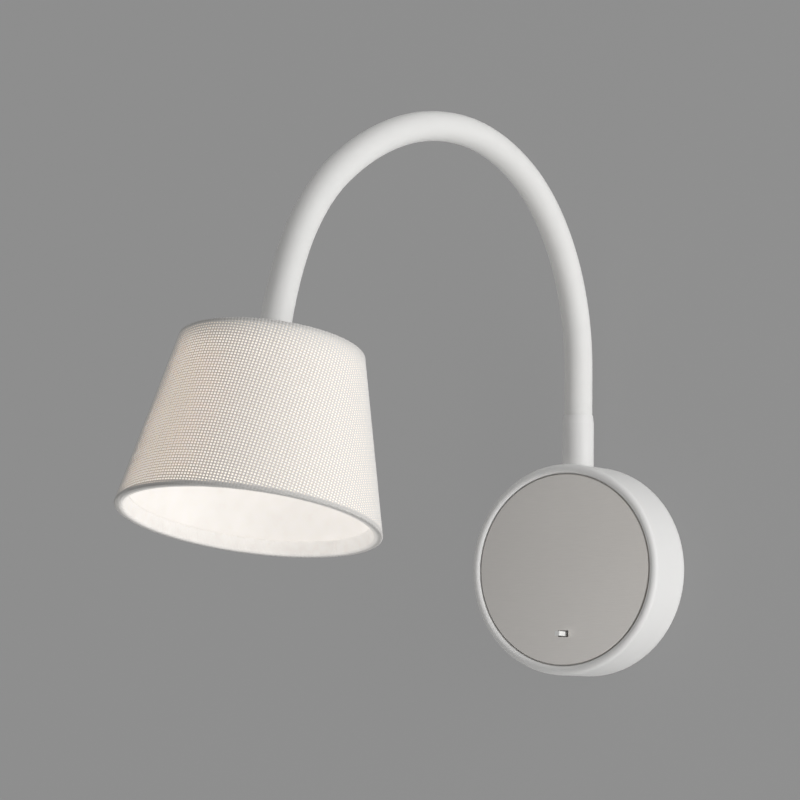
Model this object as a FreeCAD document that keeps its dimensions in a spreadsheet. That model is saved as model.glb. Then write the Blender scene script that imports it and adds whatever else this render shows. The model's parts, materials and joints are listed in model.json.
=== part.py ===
import FreeCAD, Part
import math
import os
import Sketcher

# A bedside reading lamp that hangs on a wall. The wall is the plane Y = 0 and the lamp stands
# out towards -Y, with +X to the right and +Z up. The origin is the middle of the round base.

V = FreeCAD.Vector

SIZES = {
    # round base
    "base_radius": 50.0,
    "base_depth": 28.0,
    "base_wall": 2.0,
    "base_lip_round": 2.4,
    "base_lip_edge": 1.9,
    "shelf_reach": 3.6,
    "shelf_thickness": 2.0,
    "lug_radius": 4.5,
    # nickel disc and its studs
    "lip_width": 4.8,
    "disc_thickness": 1.6,
    "disc_recess": 0.8,
    "disc_gap": 0.4,
    "disc_chamfer": 0.3,
    "stud_inset": 5.7,
    "stud_radius": 1.25,
    "stud_length": 4.6,
    "stud_nut_flats": 5.0,
    "stud_nut_height": 2.0,
    # wall bracket
    "bracket_gap": 0.3,
    "bracket_thickness": 1.5,
    "bracket_rim": 9.0,
    "rim_notch_gap": 2.0,
    "wall_screw_spacing": 60.0,
    "wall_slot_radius": 2.25,
    "wall_slot_length": 10.0,
    "bush_hole_radius": 8.0,
    "bush_bore_radius": 5.5,
    "bush_flange_radius": 10.5,
    "bush_flange_height": 1.2,
    "grub_radius": 1.5,
    "grub_length": 5.0,
    "grub_sink": 0.3,
    # fits
    "thread_gap": 0.05,
    "hole_gap": 0.2,
    "glue_gap": 0.1,
    # foot of the neck
    "neck_depth": 13.2,
    "seat_sink": 0.8,
    "boss_radius": 8.0,
    "boss_length": 4.0,
    "nipple_radius": 5.0,
    "nipple_bore_radius": 2.6,
    "nipple_tail": 7.0,
    "nipple_rise": 8.8,
    "nut_flats": 14.0,
    "nut_height": 4.0,
    "washer_radius": 7.8,
    "washer_thickness": 1.0,
    "ferrule_wall": 0.65,
    "ferrule_lip": 0.25,
    "ferrule_height": 24.8,
    "ferrule_taper": 4.0,
    # flexible neck
    "sleeve_radius": 6.7,
    "core_radius": 4.6,
    "core_bore_radius": 2.5,
    "lead_radius": 1.8,
    "neck_rise": 38.5,
    "section_length": 55.3,
    "last_section_length": 37.7,
    "turn_angle_2": 33.0,
    "turn_angle_3": 33.0,
    "turn_angle_4": 24.0,
    "turn_angle_5": 18.0,
    "turn_angle_6": 16.0,
    "turn_angle_7": 28.8,
    "turn_angle_8": 14.7,
    "pivot_angle": 25.0,
    "pivot_gap": 0.25,
    "cup_margin": 0.3,
    # head of the neck
    "head_anchor": 6.0,
    "head_ferrule_height": 10.0,
    "head_nipple_tail": 8.0,
    # shade
    "shade_top_radius": 39.2,
    "shade_flare": 16.7,
    "shade_height": 75.4,
    "fabric_thickness": 0.8,
    "fabric_fold": 4.0,
    "hem_width": 4.2,
    "hem_height": 6.0,
    "hem_edge": 0.5,
    "hem_ring_radius": 1.2,
    "liner_thickness": 1.0,
    "top_plate_thickness": 1.2,
    "top_flange": 5.0,
    # light source
    "sink_core_radius": 9.0,
    "sink_radius": 22.0,
    "sink_height": 18.0,
    "sink_base": 3.0,
    "fin_thickness": 1.2,
    "fin_gap": 1.8,
    "board_radius": 17.0,
    "board_thickness": 1.6,
    "emitter_size": 3.0,
    "emitter_height": 0.7,
    "emitter_ring_radius": 8.0,
    "led_screw_reach": 13.5,
    "lens_wall": 1.5,
    "lens_lip": 1.5,
    "lens_depth": 13.0,
    "lens_bevel": 3.0,
    # fasteners
    "screw_radius": 1.5,
    "screw_head_radius": 2.8,
    "screw_head_height": 1.8,
    # driver
    "driver_rim_gap": 1.25,
    "driver_bush_gap": 2.5,
    "driver_length": 48.0,
    "driver_height": 17.0,
    "driver_wall": 1.5,
    "driver_ledge": 2.5,
    "driver_ear": 7.0,
    "driver_ear_thickness": 2.0,
    "driver_screw_reach": 3.6,
    "driver_board_thickness": 1.6,
    "driver_coil_size": 11.0,
    "driver_coil_height": 7.0,
    "driver_can_radius": 3.5,
    "driver_can_height": 8.0,
    "lead_exit_x": -20.0,
    "lead_straight": 0.5,
    # terminals
    "terminal_x": 26.0,
    "terminal_width": 18.0,
    "terminal_length": 20.0,
    "terminal_height": 13.0,
    "terminal_pitch": 5.5,
    "terminal_screw_radius": 1.5,
    "terminal_screw_length": 5.0,
    "terminal_sink": 1.0,
    "earth_y": 24.0,
    "wire_radius": 0.9,
    "wire_bend": 3.5,
    "terminal_wire_height": 6.0,
    "driver_wire_height": 10.0,
    "neutral_entry_y": 8.0,
    "switched_entry_inset": 10.0,
    "earth_washer_rim": 1.0,
    "wire_bite": 1.0,
    "wire_straight": 8.0,
    "live_wire_rise": 2.0,
    "earth_wire_straight": 5.0,
    # slide switch
    "switch_inset": 14.8,
    "switch_length": 19.0,
    "switch_width": 9.0,
    "switch_height": 7.0,
    "switch_skin": 1.0,
    "switch_ear": 5.0,
    "switch_ear_thickness": 2.0,
    "switch_screw_radius": 1.0,
    "switch_screw_head": 1.9,
    "switch_screw_head_height": 1.2,
    "switch_screw_bite": 1.0,
    "lever_width": 2.2,
    "lever_height": 2.1,
    "lever_reach": 6.0,
    "lever_travel": 1.6,
    "lever_gap": 0.3,
    "slider_length": 6.0,
    "slider_width": 4.0,
    "slider_height": 3.4,
    "slot_height": 3.0,
    "slot_end_gap": 0.1,
}

STUDS = 4
FINS = 12
EMITTERS = 8
SECTIONS = 8

doc = FreeCAD.newDocument("wall_reading_lamp")
sheet = doc.addObject("Spreadsheet::Sheet", "Sizes")
for row, (alias, number) in enumerate(SIZES.items(), start=1):
    sheet.set("A%d" % row, alias)
    sheet.set("B%d" % row, str(number))
    sheet.setAlias("B%d" % row, alias)
doc.recompute()


class Size:
    """A length or angle that knows its number and the sheet expression behind it."""

    def __init__(self, value, text):
        self.value = value
        self.text = text

    def __add__(self, other):
        other = as_size(other)
        return Size(self.value + other.value, "(%s + %s)" % (self.text, other.text))

    def __sub__(self, other):
        other = as_size(other)
        return Size(self.value - other.value, "(%s - %s)" % (self.text, other.text))

    def __mul__(self, other):
        other = as_size(other)
        return Size(self.value * other.value, "(%s * %s)" % (self.text, other.text))

    def __truediv__(self, other):
        other = as_size(other)
        return Size(self.value / other.value, "(%s / %s)" % (self.text, other.text))

    def __neg__(self):
        return Size(-self.value, "(0 - %s)" % self.text)

    def __radd__(self, other):
        return as_size(other) + self

    def __rsub__(self, other):
        return as_size(other) - self

    def __rmul__(self, other):
        return as_size(other) * self


def as_size(thing):
    if isinstance(thing, Size):
        return thing
    return Size(float(thing), str(float(thing)))


def cosine(degrees):
    degrees = as_size(degrees)
    return Size(math.cos(math.radians(degrees.value)), "cos(%s)" % degrees.text)


def sine(degrees):
    degrees = as_size(degrees)
    return Size(math.sin(math.radians(degrees.value)), "sin(%s)" % degrees.text)


def leg(long_side, other):
    """The third side of a right-angled triangle."""
    square = long_side * long_side - other * other
    return Size(math.sqrt(square.value), "sqrt(%s)" % square.text)


class Sheet:
    """The driving sizes by name, read from the spreadsheet."""

    def __getattr__(self, alias):
        return Size(float(sheet.get(alias)), "Sizes." + alias)


d = Sheet()
nodes = []

# ---------------------------------------------------------------- building blocks

TURNS = {
    "z": FreeCAD.Rotation(V(0, 0, 1), 0),
    "x": FreeCAD.Rotation(V(0, 1, 0), 90),
    "y": FreeCAD.Rotation(V(1, 0, 0), -90),
}


def place(thing, at, along="z"):
    """Put a primitive at a point of its frame, with its own Z along one of the frame's axes."""
    thing.Placement = FreeCAD.Placement(V(0, 0, 0), TURNS[along])
    for axis, value in zip("xyz", at):
        thing.setExpression("Placement.Base." + axis, as_size(value).text)
    return thing


def rod(name, radius, length, at, along="z"):
    cylinder = doc.addObject("Part::Cylinder", name)
    cylinder.setExpression("Radius", as_size(radius).text)
    cylinder.setExpression("Height", as_size(length).text)
    return place(cylinder, at, along)


def block(name, sides, at):
    box = doc.addObject("Part::Box", name)
    for side, value in zip(("Length", "Width", "Height"), sides):
        box.setExpression(side, as_size(value).text)
    return place(box, at)


def hexagon(name, flats, height, at, along="z"):
    prism = doc.addObject("Part::Prism", name)
    prism.Polygon = 6
    prism.setExpression("Circumradius", (as_size(flats) / 2 / cosine(30)).text)
    prism.setExpression("Height", as_size(height).text)
    return place(prism, at, along)


def joined(name, pieces):
    fusion = doc.addObject("Part::MultiFuse", name)
    fusion.Shapes = pieces
    fusion.Refine = True
    return fusion


def group(name, pieces):
    compound = doc.addObject("Part::Compound", name)
    compound.Links = pieces
    return compound


def cut(name, base, tools):
    cutter = tools[0] if len(tools) == 1 else group(name + "_tools", tools)
    result = doc.addObject("Part::Cut", name)
    result.Base = base
    result.Tool = cutter
    return result


def origin_feature(body, role):
    return [item for item in body.Origin.OriginFeatures if item.Role == role][0]


def flat_sketch(body, plane, offset=0):
    sketch = body.newObject("Sketcher::SketchObject", "outline")
    sketch.AttachmentSupport = [(origin_feature(body, plane), "")]
    sketch.MapMode = "FlatFace"
    sketch.setExpression("AttachmentOffset.Base.z", as_size(offset).text)
    return sketch


def hold(sketch, kind, geometry, point, value):
    """Measure a sketch point from the origin along one direction."""
    index = sketch.addConstraint(Sketcher.Constraint(kind, -1, 1, geometry, point, value.value))
    sketch.setExpression("Constraints[%d]" % index, value.text)


def draw_outline(sketch, corners):
    corners = [(as_size(across), as_size(up)) for across, up in corners]
    points = [V(across.value, up.value, 0) for across, up in corners]
    count = len(points)
    for i in range(count):
        sketch.addGeometry(Part.LineSegment(points[i], points[(i + 1) % count]), False)
    for i in range(count):
        sketch.addConstraint(Sketcher.Constraint("Coincident", i, 2, (i + 1) % count, 1))
    for i, (across, up) in enumerate(corners):
        hold(sketch, "DistanceX", i, 1, across)
        hold(sketch, "DistanceY", i, 1, up)


def draw_circle(sketch, centre, radius):
    across, up = as_size(centre[0]), as_size(centre[1])
    circle = Part.Circle(V(across.value, up.value, 0), V(0, 0, 1), radius.value)
    index = sketch.addGeometry(circle, False)
    hold(sketch, "DistanceX", index, 3, across)
    hold(sketch, "DistanceY", index, 3, up)
    constraint = sketch.addConstraint(Sketcher.Constraint("Radius", index, radius.value))
    sketch.setExpression("Constraints[%d]" % constraint, radius.text)


def turned(name, corners):
    """A body turned about its Z axis from an outline of radius and height."""
    body = doc.addObject("PartDesign::Body", name)
    sketch = flat_sketch(body, "XZ_Plane")
    draw_outline(sketch, corners)
    revolution = body.newObject("PartDesign::Revolution", "turned")
    revolution.Profile = sketch
    revolution.ReferenceAxis = (sketch, ["V_Axis"])
    revolution.Angle = 360
    body.Tip = revolution
    doc.recompute()
    return body


def pad(body, sketch, length, down=False, both_ways=False):
    feature = body.newObject("PartDesign::Pad", "pad")
    feature.Profile = sketch
    feature.setExpression("Length", as_size(length).text)
    feature.Reversed = down
    if both_ways:
        feature.SideType = "Symmetric"
    body.Tip = feature
    return feature


def pattern(body, feature, count):
    """Repeat a feature evenly round the body's Z axis."""
    copies = body.newObject("PartDesign::PolarPattern", "pattern")
    copies.Originals = [feature]
    copies.Axis = (origin_feature(body, "Z_Axis"), [""])
    copies.Angle = 360
    copies.Occurrences = count
    body.Tip = copies
    doc.recompute()


def soften(body, kind, rings, size):
    """Fillet or chamfer the circular edges at the given radius and height."""
    doc.recompute()
    base = body.Tip
    names = []
    for index, edge in enumerate(base.Shape.Edges, start=1):
        if not isinstance(edge.Curve, Part.Circle):
            continue
        for radius, height in rings:
            same_radius = abs(edge.Curve.Radius - radius.value) < 1e-4
            if same_radius and abs(edge.Curve.Center.z - height.value) < 1e-4:
                names.append("Edge%d" % index)
    feature = body.newObject("PartDesign::" + kind, kind.lower())
    feature.Base = (base, names)
    feature.setExpression("Radius" if kind == "Fillet" else "Size", size.text)
    body.Tip = feature
    doc.recompute()


def shaped(name, shape):
    feature = doc.addObject("Part::Feature", name)
    feature.Shape = shape
    return feature


def publish(thing, node, frame):
    """Make an object a sub-part: its label names its file, and it goes to its place."""
    thing.Label = node
    thing.Placement = frame
    nodes.append(thing)


# ---------------------------------------------------------------- derived places

# In the base's own frame X is right, Y is up and Z comes out of the wall.
BASE = FreeCAD.Placement(V(0, 0, 0), FreeCAD.Rotation(V(1, 0, 0), 90))

base_inner = d.base_radius - d.base_wall
disc_radius = d.base_radius - d.lip_width
disc_front = d.base_depth - d.disc_recess
disc_back = disc_front - d.disc_thickness
shelf_back = disc_back - d.shelf_thickness
pocket_radius = disc_radius + d.disc_gap
stud_circle = disc_radius - d.stud_inset
bracket_radius = base_inner - d.bracket_gap
floor = d.bracket_thickness
grub_depth = d.bracket_rim / 2
grub_run = d.grub_length + 1
seat_height = d.base_radius - d.seat_sink
boss_bottom = base_inner - d.boss_length
nipple_bottom = boss_bottom - d.nipple_tail
nipple_top = seat_height + d.nipple_rise
ferrule_radius = d.sleeve_radius + d.glue_gap + d.ferrule_wall
driver_reach = bracket_radius - d.bracket_thickness - d.driver_rim_gap
driver_left = -leg(driver_reach, d.driver_length / 2)
driver_near = -(d.bush_flange_radius + d.driver_bush_gap)
driver_width = driver_near - driver_left
driver_x = (driver_left + driver_near) / 2
switched_entry_y = d.driver_length / 2 - d.switched_entry_inset
terminal_near = d.terminal_x - d.terminal_width / 2
ear_y = d.driver_length / 2 + d.driver_screw_reach
lead_exit_y = d.driver_length / 2
lead_bend = (nipple_bottom - lead_exit_y) / 2 - d.lead_straight
stud_angles = [360.0 / STUDS * (i + 0.5) for i in range(STUDS)]
switch_drop = disc_radius - d.switch_inset
switch_back = disc_back - d.switch_height
switch_screw_x = d.switch_length / 2 + d.switch_ear / 2


def polar(radius, degrees):
    return radius * cosine(degrees), radius * sine(degrees)


# ---------------------------------------------------------------- wall base


def slot_tool(name, y):
    """A hole that is longer than wide, running along Y."""
    half_run = d.wall_slot_length / 2 - d.wall_slot_radius
    depth = d.bracket_thickness + 2
    low = rod(name + "_low", d.wall_slot_radius, depth, (0, y - half_run, -1))
    high = rod(name + "_high", d.wall_slot_radius, depth, (0, y + half_run, -1))
    sides = (d.wall_slot_radius * 2, half_run * 2, depth)
    middle = block(name + "_middle", sides, (-d.wall_slot_radius, y - half_run, -1))
    return joined(name, [low, high, middle])


def wall_bracket():
    cup = turned("bracket_cup", [
        (0, 0),
        (bracket_radius, 0),
        (bracket_radius, d.bracket_rim),
        (bracket_radius - d.bracket_thickness, d.bracket_rim),
        (bracket_radius - d.bracket_thickness, floor),
        (0, floor),
    ])
    through = d.bracket_thickness + 2
    notch_width = (d.boss_radius + d.rim_notch_gap) * 2
    notch_low = bracket_radius - d.boss_length - d.bracket_thickness
    tapped = d.screw_radius + d.thread_gap
    hole = d.grub_radius + d.hole_gap
    tools = [
        slot_tool("slot_upper", d.wall_screw_spacing / 2),
        slot_tool("slot_lower", -d.wall_screw_spacing / 2),
        rod("cable_hole", d.bush_hole_radius, through, (0, 0, -1)),
        block("rim_notch", (notch_width, d.boss_length + 4, d.bracket_rim),
              (-notch_width / 2, notch_low, floor)),
        rod("driver_hole_upper", tapped, through, (driver_x, ear_y, -1)),
        rod("driver_hole_lower", tapped, through, (driver_x, -ear_y, -1)),
        rod("terminal_hole", tapped, through, (d.terminal_x, 0, -1)),
        rod("earth_hole", tapped, through, (d.terminal_x, d.earth_y, -1)),
        rod("grub_hole_side", hole, grub_run, (-bracket_radius - 1, 0, grub_depth), "x"),
        rod("grub_hole_under", hole, grub_run, (0, -bracket_radius - 1, grub_depth), "y"),
    ]
    publish(cut("bracket", cup, tools), "wall_bracket", BASE)


def cable_bush():
    bush = turned("bush", [
        (d.bush_bore_radius, 0),
        (d.bush_hole_radius - d.thread_gap, 0),
        (d.bush_hole_radius - d.thread_gap, floor),
        (d.bush_flange_radius, floor),
        (d.bush_flange_radius, floor + d.bush_flange_height),
        (d.bush_bore_radius, floor + d.bush_flange_height),
    ])
    publish(bush, "cable_bush", BASE)


def base_housing():
    shell = turned("housing_shell", [
        (d.base_radius, 0),
        (d.base_radius, d.base_depth),
        (pocket_radius, d.base_depth),
        (pocket_radius, disc_back),
        (pocket_radius - d.shelf_reach, disc_back),
        (pocket_radius - d.shelf_reach, shelf_back),
        (base_inner, shelf_back),
        (base_inner, 0),
    ])
    soften(shell, "Fillet", [(d.base_radius, d.base_depth)], d.base_lip_round)
    soften(shell, "Fillet", [(pocket_radius, d.base_depth)], d.base_lip_edge)
    boss_height = d.boss_length + d.base_wall / 2
    solids = [shell, rod("neck_boss", d.boss_radius, boss_height, (0, boss_bottom, d.neck_depth), "y")]
    bore_run = d.base_radius - boss_bottom + 2
    grub_hole = d.grub_radius + d.thread_gap
    tools = [
        rod("neck_bore", d.nipple_radius + d.thread_gap, bore_run,
            (0, boss_bottom - 1, d.neck_depth), "y"),
        rod("neck_seat", ferrule_radius + d.hole_gap, d.seat_sink + 1,
            (0, seat_height, d.neck_depth), "y"),
        rod("grub_thread_side", grub_hole, grub_run, (-d.base_radius - 1, 0, grub_depth), "x"),
        rod("grub_thread_under", grub_hole, grub_run, (0, -d.base_radius - 1, grub_depth), "y"),
    ]
    for number, angle in enumerate(stud_angles, start=1):
        x, y = polar(stud_circle, angle)
        solids.append(rod("lug_%d" % number, d.lug_radius, d.shelf_thickness, (x, y, shelf_back)))
        tools.append(rod("lug_hole_%d" % number, d.stud_radius + d.hole_gap,
                         d.shelf_thickness + 2, (x, y, shelf_back - 1)))
    publish(cut("housing", joined("housing_blank", solids), tools), "base_housing", BASE)


def front_disc():
    body = doc.addObject("PartDesign::Body", "disc")
    face = flat_sketch(body, "XY_Plane", disc_back)
    draw_circle(face, (0, 0), disc_radius)
    pad(body, face, d.disc_thickness)
    soften(body, "Chamfer", [(disc_radius, disc_front)], d.disc_chamfer)
    stud = flat_sketch(body, "XY_Plane", disc_back)
    draw_circle(stud, polar(stud_circle, stud_angles[0]), d.stud_radius)
    pattern(body, pad(body, stud, d.stud_length, down=True), STUDS)
    slot_half = d.lever_width / 2 + d.lever_travel + d.slot_end_gap
    tools = [block("switch_slot", (slot_half * 2, d.slot_height, d.disc_thickness + 2),
                   (-slot_half, -switch_drop - d.slot_height / 2, disc_back - 1))]
    for side in (-1, 1):
        tools.append(rod("switch_thread", d.switch_screw_radius + d.thread_gap, d.switch_screw_bite,
                         (switch_screw_x * side, -switch_drop, disc_back)))
    publish(cut("disc_with_slot", body, tools), "front_disc", BASE)


def disc_nuts():
    nuts = []
    low = shelf_back - d.stud_nut_height
    for angle in stud_angles:
        x, y = polar(stud_circle, angle)
        blank = hexagon("stud_nut", d.stud_nut_flats, d.stud_nut_height, (x, y, low))
        bore = rod("stud_nut_bore", d.stud_radius + d.thread_gap, d.stud_nut_height + 2,
                   (x, y, low - 1))
        nuts.append(cut("stud_nut_cut", blank, [bore]))
    publish(group("nuts", nuts), "disc_nuts", BASE)


def housing_grub_screws():
    start = -d.base_radius + d.grub_sink
    side = rod("grub_side", d.grub_radius, d.grub_length, (start, 0, grub_depth), "x")
    under = rod("grub_under", d.grub_radius, d.grub_length, (0, start, grub_depth), "y")
    publish(group("grubs", [side, under]), "housing_grub_screws", BASE)


# ---------------------------------------------------------------- foot of the neck


def neck_nipple():
    length = nipple_top - nipple_bottom
    at = (0, nipple_bottom, d.neck_depth)
    tube = rod("nipple_tube", d.nipple_radius, length, at, "y")
    bore = rod("nipple_bore", d.nipple_bore_radius, length + 2,
               (0, nipple_bottom - 1, d.neck_depth), "y")
    publish(cut("nipple", tube, [bore]), "neck_nipple", BASE)


def neck_washer():
    low = boss_bottom - d.washer_thickness
    ring = rod("washer_ring", d.washer_radius, d.washer_thickness, (0, low, d.neck_depth), "y")
    bore = rod("washer_bore", d.nipple_radius + d.hole_gap, d.washer_thickness + 2,
               (0, low - 1, d.neck_depth), "y")
    publish(cut("washer", ring, [bore]), "neck_washer", BASE)


def neck_nut():
    low = boss_bottom - d.washer_thickness - d.nut_height
    blank = hexagon("nut_blank", d.nut_flats, d.nut_height, (0, low, d.neck_depth), "y")
    bore = rod("nut_bore", d.nipple_radius + d.thread_gap, d.nut_height + 2,
               (0, low - 1, d.neck_depth), "y")
    publish(cut("nut", blank, [bore]), "neck_nut", BASE)


def ferrule_outline(height, thread_height):
    """A collar from its seat at height 0: threaded below, a socket for the sleeve above."""
    thread = d.nipple_radius + d.thread_gap
    socket = d.sleeve_radius + d.glue_gap
    return [
        (thread, 0),
        (ferrule_radius, 0),
        (ferrule_radius, height - d.ferrule_taper),
        (socket + d.ferrule_lip, height),
        (socket, height),
        (socket, thread_height),
        (thread, thread_height),
    ]


def neck_ferrule():
    collar = turned("collar", ferrule_outline(d.ferrule_height, d.nipple_rise))
    upright = FreeCAD.Placement(V(0, -d.neck_depth.value, seat_height.value), TURNS["z"])
    publish(collar, "neck_ferrule", upright)
    collar.setExpression("Placement.Base.y", (-d.neck_depth).text)
    collar.setExpression("Placement.Base.z", seat_height.text)


# ---------------------------------------------------------------- flexible neck


class Station:
    """A point of the neck's centre line, with the tube's heading there in degrees from +Z."""

    def __init__(self, y, z, heading):
        self.y = y
        self.z = z
        self.heading = heading

    def frame(self):
        """The frame whose Z is the tube's heading and whose -Y is the way the tube bends."""
        return FreeCAD.Placement(V(0, self.y, self.z), FreeCAD.Rotation(V(1, 0, 0), self.heading))

    def ahead(self, length, turn):
        """The station at the end of a straight or evenly bent length that starts here."""
        end = self.frame().multVec(run_end(length, turn))
        return Station(end.y, end.z, self.heading + turn)


def run_end(length, turn):
    """Where a length ends that starts at the origin along +Z and bends evenly towards -Y."""
    if turn == 0:
        return V(0, 0, length)
    radius = length / math.radians(turn)
    angle = math.radians(turn)
    return V(0, radius * (math.cos(angle) - 1), radius * math.sin(angle))


def neck_sections():
    """Length and turn of each section, from the foot of the neck to its head."""
    turns = [getattr(d, "turn_angle_%d" % number).value for number in range(2, SECTIONS + 1)]
    lengths = [d.neck_rise.value]
    lengths += [d.section_length.value] * (SECTIONS - 2)
    lengths += [d.last_section_length.value]
    return list(zip(lengths, [0.0] + turns))


def neck_stations():
    stations = [Station(-d.neck_depth.value, nipple_top.value, 0.0)]
    for length, turn in neck_sections():
        stations.append(stations[-1].ahead(length, turn))
    return stations


stations = neck_stations()
neck_end = stations[-1]

# In the head's own frame Z points back up the shade's axis, from the middle of its top plate.
HEAD = FreeCAD.Placement(
    neck_end.ahead(d.head_anchor.value, 0).frame().Base,
    FreeCAD.Rotation(V(1, 0, 0), neck_end.heading - 180),
)


def ring_face(outer, inner):
    """A flat ring or disc at the origin, square to Z."""
    def disc(radius):
        return Part.Face(Part.Wire(Part.Circle(V(0, 0, 0), V(0, 0, 1), radius).toShape()))
    if inner == 0:
        return disc(outer)
    return disc(outer).cut(disc(inner))


def tube_run(length, turn, outer, inner):
    """A straight or evenly bent length of tube or solid rod, from the origin along +Z."""
    face = ring_face(outer, inner)
    if turn == 0:
        return face.extrude(V(0, 0, length))
    centre = V(0, -length / math.radians(turn), 0)
    return face.revolve(centre, V(1, 0, 0), turn)


def ball_end(end, turn, outer, inner):
    """The rounded end that turns in the next section's cup."""
    ball_radius = d.sleeve_radius.value
    stub = ring_face(outer, inner).extrude(V(0, 0, ball_radius))
    ball = stub.common(Part.makeSphere(ball_radius))
    ball.Placement = FreeCAD.Placement(end, FreeCAD.Rotation(V(1, 0, 0), turn))
    return ball


def cup_cutter():
    """What the last section's ball end, and its rim as it tilts, needs clear."""
    ball_radius = d.sleeve_radius.value
    hollow = Part.makeSphere(ball_radius + d.pivot_gap.value)
    set_back = ball_radius * math.sin(math.radians(d.pivot_angle.value)) + d.cup_margin.value
    rim = Part.makeCylinder(ball_radius + 2, set_back + 1, V(0, 0, -1))
    return hollow.fuse(rim)


def neck_solid(number, outer, inner):
    """One section of a sleeve, core or lead, in the frame of the station where it starts."""
    length, turn = neck_sections()[number - 1]
    solid = tube_run(length, turn, outer, inner)
    if number < SECTIONS:
        solid = solid.fuse(ball_end(run_end(length, turn), turn, outer, inner))
    if number > 1:
        solid = solid.cut(cup_cutter())
    return solid


def wire_tube(points, radius, bend):
    """A round wire along straight runs that are joined by tangent arcs."""
    edges = []
    here = points[0]
    for i in range(1, len(points) - 1):
        corner = points[i]
        back = (points[i - 1] - corner).normalize()
        onward = (points[i + 1] - corner).normalize()
        half = back.getAngle(onward) / 2
        if math.pi / 2 - half < 1e-6:
            continue
        reach = bend / math.tan(half)
        middle = (back + onward).normalize()
        centre = corner + middle * (bend / math.sin(half))
        first, last = corner + back * reach, corner + onward * reach
        if (first - here).Length > 1e-6:
            edges.append(Part.LineSegment(here, first).toShape())
        edges.append(Part.Arc(first, centre - middle * bend, last).toShape())
        here = last
    edges.append(Part.LineSegment(here, points[-1]).toShape())
    path = Part.Wire(edges)
    circle = Part.Circle(points[0], (points[1] - points[0]).normalize(), radius)
    return path.makePipeShell([Part.Wire(circle.toShape())], True, False)


def base_point(x, y, z):
    """A point of the base's frame, in the lamp's own frame."""
    corner = V(as_size(x).value, as_size(y).value, as_size(z).value)
    return BASE.multVec(corner)


def neck_parts():
    sleeve_bore = d.core_radius.value + d.glue_gap.value
    for number in range(1, SECTIONS + 1):
        sleeve = neck_solid(number, d.sleeve_radius.value, sleeve_bore)
        core = neck_solid(number, d.core_radius.value, d.core_bore_radius.value)
        lead = neck_solid(number, d.lead_radius.value, 0)
        if number == 1:
            lead = lead.fuse(lead_in_base())
        if number == SECTIONS:
            lead = lead.fuse(lead_in_head())
        for kind, solid in (("neck_sleeve", sleeve), ("neck_core", core), ("lamp_lead", lead)):
            node = "%s_%d" % (kind, number)
            publish(shaped(node, solid.removeSplitter()), node, stations[number - 1].frame())


def lead_in_base():
    """From inside the driver, across to the neck and up through the nipple to its top."""
    turn_y = (lead_exit_y + nipple_bottom) / 2
    inside_driver = lead_exit_y - d.driver_wall - 1
    points = [
        base_point(d.lead_exit_x, inside_driver, d.neck_depth),
        base_point(d.lead_exit_x, turn_y, d.neck_depth),
        base_point(0, turn_y, d.neck_depth),
        base_point(0, nipple_top, d.neck_depth),
    ]
    foot = stations[0].frame().Base
    return wire_tube([point - foot for point in points], d.lead_radius.value, lead_bend.value)


def lead_in_head():
    """Straight on through the head's nipple to the back of the light source's board."""
    run = d.head_anchor + d.top_plate_thickness + d.sink_height
    length, turn = neck_sections()[-1]
    lead = tube_run(run.value, 0, d.lead_radius.value, 0)
    lead.Placement = FreeCAD.Placement(run_end(length, turn), FreeCAD.Rotation(V(1, 0, 0), turn))
    return lead


# ---------------------------------------------------------------- driver and wiring


def driver_case():
    half_length = d.driver_length / 2
    wall = d.driver_wall
    outer = (driver_width, d.driver_length, d.driver_height - wall)
    case = block("case_outer", outer, (driver_left, -half_length, floor))
    ear_length = d.driver_length + d.driver_ear * 2
    ears = block("case_ears", (d.driver_ear, ear_length, d.driver_ear_thickness),
                 (driver_x - d.driver_ear / 2, -ear_length / 2, floor))
    hollow = block("case_hollow", (driver_width - wall * 2, d.driver_length - wall * 2,
                                   d.driver_height), (driver_left + wall, wall - half_length, floor + wall))
    ledges = []
    for name, y in (("lower", wall - half_length), ("upper", half_length - wall - d.driver_ledge)):
        ledges.append(block("ledge_" + name, (driver_width - wall * 2, d.driver_ledge,
                                              d.driver_ledge), (driver_left + wall, y, floor + wall)))
    wire_hole = d.wire_radius + d.hole_gap
    hole_run = wall + 2
    holes = [
        rod("lead_hole", d.lead_radius + d.hole_gap, hole_run,
            (d.lead_exit_x, lead_exit_y - wall - 1, d.neck_depth), "y"),
        rod("neutral_hole", wire_hole, hole_run,
            (driver_near - wall - 1, d.neutral_entry_y, d.driver_wire_height), "x"),
        rod("switched_hole", wire_hole, hole_run,
            (driver_near - wall - 1, -switched_entry_y, d.driver_wire_height), "x"),
        rod("ear_hole_upper", d.screw_radius + d.hole_gap, 6, (driver_x, ear_y, floor - 1)),
        rod("ear_hole_lower", d.screw_radius + d.hole_gap, 6, (driver_x, -ear_y, floor - 1)),
    ]
    shell = cut("case_shell", joined("case_blank", [case, ears]), [hollow])
    with_ledges = joined("case_ledges", [shell] + ledges)
    publish(cut("case", with_ledges, holes), "driver_case", BASE)


def driver_board():
    gap = d.driver_wall + d.hole_gap
    width, length = driver_width - gap * 2, d.driver_length - gap * 2
    left = driver_left + gap
    low = floor + d.driver_wall + d.driver_ledge
    top = low + d.driver_board_thickness
    board = block("board", (width, length, d.driver_board_thickness),
                  (left, gap - d.driver_length / 2, low))
    coil = block("coil", (d.driver_coil_size, d.driver_coil_size, d.driver_coil_height),
                 (driver_x - d.driver_coil_size / 2, -d.driver_coil_size / 2, top))
    can = rod("can", d.driver_can_radius, d.driver_can_height,
              (driver_x - d.driver_can_radius, -d.driver_length / 4, top))
    publish(joined("board_with_parts", [board, coil, can]), "driver_board", BASE)


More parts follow.
